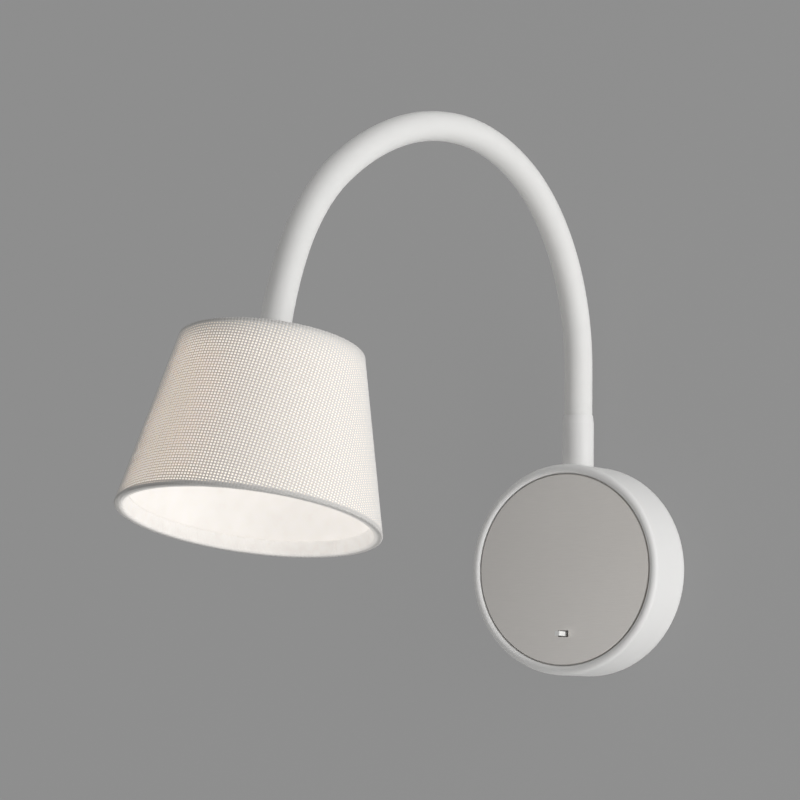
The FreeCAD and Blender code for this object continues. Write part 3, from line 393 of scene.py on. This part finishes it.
# The neck's measures are those of the solids.
NECK_DEPTH = 13.2 * MM
NECK_FOOT = 58.0 * MM
LAST_LENGTH = 37.7 * MM
LAST_TURN = math.radians(14.7)
HEAD_ANCHOR = 6.0 * MM
SLEEVE_RADIUS = 6.7 * MM
CORE_RADIUS = 4.6 * MM
CORE_BORE = 2.5 * MM
STRAIGHT = 1e-4

NECK_JOINTS = [joint for joint in frame["joints"] if joint["name"].startswith("neck_")]
PIVOTS = [Vector(joint["pos_m"]) for joint in NECK_JOINTS]


def ahead(heading):
    """The way along the neck at a heading, which turns from +Z towards -Y."""
    return Vector((0, -math.sin(heading), math.cos(heading)))


class Run:
    """A straight or evenly bent length of the neck's centre line, in the plane X = 0."""

    def __init__(self, start, heading, length, turn):
        self.start = start
        self.heading = heading
        self.length = length
        self.turn = turn

    def at(self, distance):
        """The centre line's point and its heading at a distance along the run."""
        if self.turn == 0:
            return self.start + ahead(self.heading) * distance, self.heading
        radius = self.length / self.turn
        heading = self.heading + distance / radius
        y = radius * (math.cos(heading) - math.cos(self.heading))
        z = radius * (math.sin(heading) - math.sin(self.heading))
        return self.start + Vector((0, y, z)), heading


def neck_runs():
    """The runs between the pivots. Each starts the way the last one ends."""
    points = [Vector((0, -NECK_DEPTH, NECK_FOOT))] + PIVOTS
    runs = []
    heading = 0.0
    for first, second in zip(points, points[1:]):
        chord = second - first
        turn = 2 * (math.atan2(-chord.y, chord.z) - heading)
        length = chord.length
        if abs(turn) < STRAIGHT:
            turn = 0.0
        else:
            length = length * (turn / 2) / math.sin(turn / 2)
        runs.append(Run(first, heading, length, turn))
        heading += turn
    runs.append(Run(PIVOTS[-1], heading, LAST_LENGTH, LAST_TURN))
    return runs


RUNS = neck_runs()
NECK_END, END_HEADING = RUNS[-1].at(LAST_LENGTH)
HEAD_FRAME = (Matrix.Translation(NECK_END + ahead(END_HEADING) * HEAD_ANCHOR)
              @ Matrix.Rotation(END_HEADING - math.pi, 4, "X"))


def centre_line(stretches, spacing):
    """Points and headings along stretches of runs, each given as run number, start and end."""
    found = []
    for number, start, end in stretches:
        steps = max(1, round((end - start) / spacing))
        first = 1 if found else 0
        for step in range(first, steps + 1):
            found.append(RUNS[number].at(start + (end - start) * step / steps))
    return found


def tube_mesh(name, line, outer, inner, sides, rib=None):
    """A closed tube round a centre line. A rib of (depth, pitch) winds a relief round it."""
    angles = np.linspace(0, math.tau, sides, endpoint=False)
    across = np.array([1.0, 0.0, 0.0])
    points, normals = [], []
    travelled = 0.0
    last = line[0][0]
    for centre, heading in line:
        travelled += (centre - last).length
        last = centre
        up = np.array([0.0, math.cos(heading), math.sin(heading)])
        ring = np.outer(np.cos(angles), across) + np.outer(np.sin(angles), up)
        size = np.full(sides, outer)
        if rib:
            depth, pitch = rib
            size = outer - depth * (0.5 - 0.5 * np.cos(math.tau * travelled / pitch - angles))
        points.append(np.array(centre) + ring * size[:, None])
        normals.append(ring)
    inside = [np.array(centre) + ring * inner for (centre, _), ring in zip(line, normals)]
    mesh = grid_mesh(name, np.array(points + inside[::-1]))
    way = np.concatenate([np.array(normals), -np.array(normals[::-1])])
    soft_sides(mesh, way.reshape(-1, 3), len(line))
    return mesh


def soft_sides(mesh, ways, rings):
    """Give a tube's sides their true normals, and its two ends flat ones."""
    flat = np.zeros(len(mesh.polygons) * 3)
    mesh.polygons.foreach_get("normal", flat)
    corners = np.zeros(len(mesh.loops), np.int32)
    mesh.loops.foreach_get("vertex_index", corners)
    corners = corners.reshape(-1, 4)
    sides = len(ways) // (2 * rings)
    ring_of = corners // sides
    is_end = (ring_of.min(1) < rings) & (ring_of.max(1) >= rings)
    normals = ways[corners]
    normals[is_end] = flat.reshape(-1, 3)[is_end][:, None, :]
    mesh.normals_split_custom_set(normals.reshape(-1, 3).tolist())


def neck_tubes(kind, slot, outer, inner, spacing, sides, rib=None):
    """Split a tube at the middle of each section, so that every piece spans one pivot."""
    middles = [run.length / 2 for run in RUNS]
    foot = show(tube_mesh(kind + "_foot", centre_line([(0, 0, middles[0])], spacing), outer, inner,
                          sides, rib), slot)
    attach(foot, "root")
    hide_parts(kind + "_1")
    for number in range(1, len(RUNS)):
        line = centre_line([(number - 1, middles[number - 1], RUNS[number - 1].length),
                            (number, 0, middles[number])], spacing)
        bend = show(tube_mesh("%s_bend_%d" % (kind, number), line, outer, inner, sides, rib), slot)
        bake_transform(bend)
        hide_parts("%s_%d" % (kind, number + 1))
    line = centre_line([(len(RUNS) - 1, middles[-1], LAST_LENGTH)], spacing)
    tip = show(tube_mesh(kind + "_tip", line, outer, inner, sides, rib), slot)
    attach(tip, "head")


neck_tubes("neck_sleeve", "white_silicone", SLEEVE_RADIUS, CORE_RADIUS + 0.1 * MM, 2.0 * MM, 48)
neck_tubes("neck_core", "zinc_steel", CORE_RADIUS, CORE_BORE, 0.6 * MM, 20, (0.5 * MM, 2.4 * MM))

# ---------------------------------------------------------------- fabric shade

# The cone's measures are those of the solid. Heights count from its top, along its axis.
TOP_RADIUS = 39.2 * MM
FLARE = 16.7 * MM
HEIGHT = 75.4 * MM
SLOPE = FLARE / HEIGHT
HALF_ANGLE = math.atan(SLOPE)
CLOTH_THICKNESS = 0.8 * MM
TOP_FOLD = 4.0 * MM
HEM_WIDTH = 4.2 * MM
HEM_HEIGHT = 6.0 * MM
OUTER_EDGE = 0.7 * MM
INNER_EDGE = 1.1 * MM
BACK_STEP = 8 * MM
BACK_CLEARANCE = 0.03 * MM

# The weave's relief: its depth, how far threads wander, and how much they differ in thickness.
WEAVE_SAMPLES = 840
WEAVE_STEP = 0.35 * MM
RELIEF = 0.42 * MM
WANDER = 0.05 * MM
WARP_SPREAD = 0.14
WEFT_SPREAD = 0.12
THREADS = 512
CROSSING = 0.12
HOLLOW_LIMIT = 1.3
FLAT_EDGE = 0.6 * MM

# The seam lies opposite to LATTICE_TURN, round the axis.
LATTICE_TURN = math.radians(258)
SEAM_GAP = 0.1 * MM

# A painted glow stands for the lamp shining through between the hem and the top fold; it is painted stronger
# towards one side.
HEM_DARK = 1.6 * MM
HEM_FADE = 1.2 * MM
TOP_DARK = 0.5 * MM
TOP_FADE = 9 * MM
RETURN_FADE = 2.4 * MM
PAINTED_GLOW_SIDE = math.radians(205)
PAINTED_GLOW_SWING = 0.55


def cone(inset, z):
    """The cone's radius at a height, at some distance inside its face."""
    return TOP_RADIUS - inset - SLOPE * z


def arc(centre, radius, start, end, steps):
    """Points of an arc in the plane of radius and height, without its first one."""
    angles = [start + (end - start) * (i + 1) / steps for i in range(steps)]
    return [(centre[0] + radius * math.cos(a), centre[1] + radius * math.sin(a)) for a in angles]


def straight(start, end, step):
    """Points of a straight run, without its first one."""
    count = max(1, round(math.dist(start, end) / step))
    return [(start[0] + (end[0] - start[0]) * (i + 1) / count,
             start[1] + (end[1] - start[1]) * (i + 1) / count) for i in range(count)]


def outer_profile():
    """The cloth's face, from the end of the hem's return, round the hem and up to the top fold."""
    low = -HEIGHT
    tilt = HALF_ANGLE
    points = [(cone(HEM_WIDTH, low + HEM_HEIGHT), low + HEM_HEIGHT)]
    inner_round = (cone(HEM_WIDTH, low) + INNER_EDGE, low + INNER_EDGE)
    points += straight(points[0], (inner_round[0] - INNER_EDGE, inner_round[1]), WEAVE_STEP * 2)
    points += arc(inner_round, INNER_EDGE, math.pi, math.pi * 1.5, 6)
    reach = OUTER_EDGE * math.tan((math.pi / 2 + tilt) / 2)
    outer_round = (cone(0, low) - reach, low + OUTER_EDGE)
    points += straight(points[-1], (outer_round[0], low), WEAVE_STEP)
    points += arc(outer_round, OUTER_EDGE, -math.pi / 2, tilt, 5)
    top = CLOTH_THICKNESS
    reach = OUTER_EDGE * math.tan((math.pi / 2 - tilt) / 2)
    top_round = (cone(0, top) - reach, top - OUTER_EDGE)
    slant_end = (top_round[0] + OUTER_EDGE * math.cos(tilt),
                 top_round[1] + OUTER_EDGE * math.sin(tilt))
    points += straight(points[-1], slant_end, WEAVE_STEP)
    points += arc(top_round, OUTER_EDGE, tilt, math.pi / 2, 5)
    points += straight(points[-1], (TOP_RADIUS - TOP_FOLD, top), WEAVE_STEP)
    return np.array(points)


def inner_profile():
    """The cloth's back, from the edge of the top fold down to the end of the hem's return."""
    low = -HEIGHT
    t = CLOTH_THICKNESS
    stops = [
        (TOP_RADIUS - TOP_FOLD, BACK_CLEARANCE),
        (cone(t, BACK_CLEARANCE), BACK_CLEARANCE),
        (cone(t, low + t), low + t),
        (cone(HEM_WIDTH - t, low + t), low + t),
        (cone(HEM_WIDTH - t, low + HEM_HEIGHT), low + HEM_HEIGHT),
    ]
    points = [stops[0]]
    for start, end in zip(stops, stops[1:]):
        points += straight(start, end, BACK_STEP)
    return np.array(points)


def column_turns(outer):
    """The turns of the cloth's columns round the axis, from one side of the seam to the other."""
    turn = np.linspace(0, math.tau, WEAVE_SAMPLES + 1)
    gap = SEAM_GAP / outer[:, 0].mean()
    return LATTICE_TURN - math.pi + gap / 2 + turn * (1 - gap / math.tau)


def flat_places(slant, turn):
    """Each point's place on the flat cloth, across and down, with threads that wander a little."""
    flat_angle = (turn - LATTICE_TURN) * math.sin(HALF_ANGLE)
    across = slant[:, None] * np.sin(flat_angle)[None]
    down = slant[:, None] * np.cos(flat_angle)[None]
    across = across + WANDER * np.sin(down / (9 * MM) + 3 * np.sin(across / (31 * MM)))
    down = down + WANDER * np.sin(across / (11 * MM) + 2 * np.sin(down / (23 * MM)))
    return across, down


def thread_sizes(random, spread, place, pitch):
    """A factor round 1 for the thread that passes each point."""
    sizes = random.standard_normal(THREADS)
    return 1 + spread * sizes[np.round(place / pitch).astype(int) % THREADS]


def relief(across, down, along):
    """How deep the cloth's face lies at each point. It runs out to nothing at the cloth's ends."""
    random = np.random.RandomState(11)
    warp = thread_sizes(random, WARP_SPREAD, across, WEAVE_ACROSS)
    weft = thread_sizes(random, WEFT_SPREAD, down, WEAVE_DOWN)
    hole = 0.5 + 0.5 * np.cos(math.tau * across / WEAVE_ACROSS)
    hole = hole * (0.5 + 0.5 * np.cos(math.tau * down / WEAVE_DOWN))
    over = np.cos(math.pi * across / WEAVE_ACROSS) * np.cos(math.pi * down / WEAVE_DOWN)
    depth = np.clip(hole * warp * weft + CROSSING * over + CROSSING, 0, HOLLOW_LIMIT)
    edge = np.minimum(1, np.minimum(along, along[-1] - along) / FLAT_EDGE)
    return RELIEF * depth / HOLLOW_LIMIT * edge[:, None]


def painted_lamp_glow(outer, rim, turn):
    """How strong the painted glow for the lamp shining through is at each point of the face, or, as a
    negative, the painted light for the lamp shining on the hem's return, which comes before the rim."""
    lit = np.clip((outer[:, 1] + HEIGHT - HEM_DARK) / HEM_FADE, 0, 1)
    lit = lit * np.clip((-TOP_DARK - outer[:, 1]) / TOP_FADE, 0.0, 1.0) ** 0.5
    # The glow is painted stronger towards one side of the shade.
    lit = lit[:, None] * (1 + PAINTED_GLOW_SWING * np.cos(turn - PAINTED_GLOW_SIDE))
    from_return = outer[:rim, 0] - cone(HEM_WIDTH, outer[:rim, 1])
    lit[:rim] = -np.clip(1 - from_return / RETURN_FADE, 0, 1)[:, None]
    return lit


def fabric_mesh():
    """The cloth with its relief, laid out flat and wrapped on the cone."""
    outer, inner = outer_profile(), inner_profile()
    steps = np.linalg.norm(np.diff(outer, axis=0), axis=1)
    along = np.concatenate([[0], np.cumsum(steps)])
    rim = np.argmax(outer[:, 0])
    slant = cone(0, -HEIGHT) / math.sin(HALF_ANGLE) + along[rim] - along
    turn = column_turns(outer)
    across, down = flat_places(slant, turn)
    sink = relief(across, down, along)

    tangent = np.gradient(outer, axis=0)
    tangent /= np.linalg.norm(tangent, axis=1)[:, None]
    outward = np.stack([tangent[:, 1], -tangent[:, 0]], 1)
    radius = outer[:, :1] - outward[:, :1] * sink
    height = outer[:, 1:] - outward[:, 1:] * sink
    radius = np.concatenate([radius, np.repeat(inner[:, :1], len(turn), 1)])
    height = np.concatenate([height, np.repeat(inner[:, 1:], len(turn), 1)])
    rows = np.stack([radius * np.cos(turn), radius * np.sin(turn), height], -1)
    mesh = grid_mesh("shade_fabric", rows, closed_round=False)

    place = np.zeros((len(rows), len(turn), 3))
    place[:len(outer)] = np.stack([across, down, painted_lamp_glow(outer, rim, turn)], -1)
    attribute = mesh.attributes.new(CLOTH, "FLOAT_VECTOR", "POINT")
    attribute.data.foreach_set("vector", place.reshape(-1).astype(np.float32))
    return mesh


def cap_seam(mesh):
    """Close the two cut edges of the cloth, which meet at the seam."""
    bm = bmesh.new()
    bm.from_mesh(mesh)
    loose = [edge for edge in bm.edges if edge.is_boundary]
    bmesh.ops.holes_fill(bm, edges=loose, sides=0)
    bmesh.ops.recalc_face_normals(bm, faces=bm.faces)
    for edge in loose:
        edge.smooth = False
    bm.to_mesh(mesh)
    bm.free()


fabric = fabric_mesh()
cap_seam(fabric)
fabric.transform(HEAD_FRAME)
shade_fabric = show(fabric, "woven_fabric")
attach(shade_fabric, "head")
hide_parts("fabric_shade")


# ---------------------------------------------------------------- stage

STAGE_REACH = 6.0
WALL_OPENING = 49.0 * MM
WALL_SETBACK = 0.4 * MM
WALL_COLOR = (0.306, 0.306, 0.306)
FLOOR_HEIGHT = -1.1
FLOOR_COLOR = (0.62, 0.62, 0.61)
PAINT_ROUGHNESS = 0.8
PAINT_EVENNESS = 0.8


def one_sided(name, color):
    """A plain painted surface, seen from its front only, whose backdrop light keeps it even."""
    t = Tree(name)
    tone = t.blend(t.noise(3.0, 3), shade(color, 0.985), shade(color, 1.015))
    paint = t.node("ShaderNodeBsdfPrincipled", {"Base Color": tone, "Roughness": PAINT_ROUGHNESS,
                                                "Specular IOR Level": 0.2,
                                                "Normal": t.bump(t.noise(60, 3), 0.0002)})
    even = t.node("ShaderNodeEmission", {"Color": (*color, 1), "Strength": 1.0})
    seen = t.node("ShaderNodeLightPath").outputs["Is Camera Ray"]
    share = t.math("MULTIPLY", seen, PAINT_EVENNESS)
    front = t.node("ShaderNodeMixShader", {0: share, 1: paint.outputs[0], 2: even.outputs[0]})
    clear = t.node("ShaderNodeBsdfTransparent")
    back = t.node("ShaderNodeNewGeometry").outputs["Backfacing"]
    mixed = t.node("ShaderNodeMixShader", {0: back, 1: front.outputs[0], 2: clear.outputs[0]})
    t.node("ShaderNodeOutputMaterial", {"Surface": mixed.outputs[0]})
    return t.material


def wall():
    """A wall that faces -Y, with a round opening that the lamp's base hides."""
    radii = np.array([WALL_OPENING, 0.2, 0.6, 2.0, STAGE_REACH])
    turn = np.linspace(0, math.tau, 96, endpoint=False)
    rows = np.stack([np.outer(radii, np.cos(turn)), np.full((len(radii), len(turn)), WALL_SETBACK),
                     np.outer(radii, np.sin(turn))], -1)
    return grid_mesh("wall", rows[::-1], closed_down=False)


def floor():
    rows = [[(x, y, FLOOR_HEIGHT) for x in (-STAGE_REACH, STAGE_REACH)] for y in (-STAGE_REACH, 0)]
    return grid_mesh("floor", np.array(rows), closed_down=False, closed_round=False)


for mesh, color in ((wall(), WALL_COLOR), (floor(), FLOOR_COLOR)):
    piece = bpy.data.objects.new(mesh.name, mesh)
    bpy.context.scene.collection.objects.link(piece)
    mesh.materials.append(one_sided(mesh.name + "_paint", color))


def area_light(name, place, target, width, height, power):
    light = bpy.data.lights.new(name, "AREA")
    light.shape = "RECTANGLE"
    light.size = width
    light.size_y = height
    light.energy = power
    lamp = bpy.data.objects.new(name, light)
    bpy.context.scene.collection.objects.link(lamp)
    lamp.location = place
    lamp.visible_camera = False
    lamp.rotation_euler = (Vector(target) - Vector(place)).to_track_quat("-Z", "Y").to_euler()


area_light("window", (1.5, -0.24, 0.20), (0, -0.12, 0.10), width=0.7, height=3.0, power=27)
area_light("left_fill", (-1.5, -0.3, 0.2), (0, -0.12, 0.10), width=0.7, height=1.6, power=1.0)
area_light("wall_bounce", (0, -0.001, 0.1), (0, -1, 0.1), width=1.2, height=1.2, power=0.75)
area_light("floor_bounce", (0.2, -0.18, -0.95), (0, -0.14, 0.08), width=0.8, height=0.8, power=2.6)

FILL_LEVEL = 0.335
SEEN_LEVEL = 0.60


def sky():
    """A plain grey world, dimmer as a source of light than where it is seen or reflected."""
    world = bpy.data.worlds.new("studio")
    world.use_nodes = True
    tree = world.node_tree
    tree.nodes.clear()
    path = tree.nodes.new("ShaderNodeLightPath")
    seen = path.outputs["Is Camera Ray"]
    for other in ("Is Glossy Ray", "Is Transmission Ray"):
        either = tree.nodes.new("ShaderNodeMath")
        either.operation = "MAXIMUM"
        tree.links.new(seen, either.inputs[0])
        tree.links.new(path.outputs[other], either.inputs[1])
        seen = either.outputs[0]
    mix = tree.nodes.new("ShaderNodeMix")
    mix.data_type = "RGBA"
    mix.inputs[MIX_FIRST].default_value = (FILL_LEVEL, FILL_LEVEL, FILL_LEVEL, 1)
    mix.inputs[MIX_SECOND].default_value = (SEEN_LEVEL, SEEN_LEVEL, SEEN_LEVEL, 1)
    tree.links.new(seen, mix.inputs[MIX_FACTOR])
    background = tree.nodes.new("ShaderNodeBackground")
    tree.links.new(mix.outputs[MIX_RESULT], background.inputs[0])
    output = tree.nodes.new("ShaderNodeOutputWorld")
    tree.links.new(background.outputs[0], output.inputs[0])
    bpy.context.scene.world = world


sky()

# ---------------------------------------------------------------- camera

LENS = 164.6
SENSOR_WIDTH = 36.0
CAMERA_AZIMUTH = math.radians(28.55)
CAMERA_HEIGHT = math.radians(-2.74)
CAMERA_DISTANCE = 1.757
LOOK_YAW = math.radians(31.56)
LOOK_PITCH = math.radians(5.41)
LOOK_ROLL = math.radians(0.46)


def outward_vector(azimuth, height):
    """The way out from the wall at an azimuth from -Y towards +X and a height above the level."""
    return Vector((math.sin(azimuth) * math.cos(height), -math.cos(azimuth) * math.cos(height),
                   math.sin(height)))


camera_data = bpy.data.cameras.new("camera")
camera_data.sensor_width = SENSOR_WIDTH
camera_data.lens = LENS
camera = bpy.data.objects.new("camera", camera_data)
bpy.context.scene.collection.objects.link(camera)
look = -outward_vector(LOOK_YAW, -LOOK_PITCH)
level = Vector((math.cos(LOOK_YAW), math.sin(LOOK_YAW), 0))
upright = level.cross(look)
right = level * math.cos(LOOK_ROLL) + upright * math.sin(LOOK_ROLL)
above = -level * math.sin(LOOK_ROLL) + upright * math.cos(LOOK_ROLL)
axes = Matrix((right, above, -look)).transposed().to_4x4()
camera.matrix_world = Matrix.Translation(
    outward_vector(CAMERA_AZIMUTH, CAMERA_HEIGHT) * CAMERA_DISTANCE) @ axes
bpy.context.scene.camera = camera
bpy.context.scene.view_settings.view_transform = "Standard"
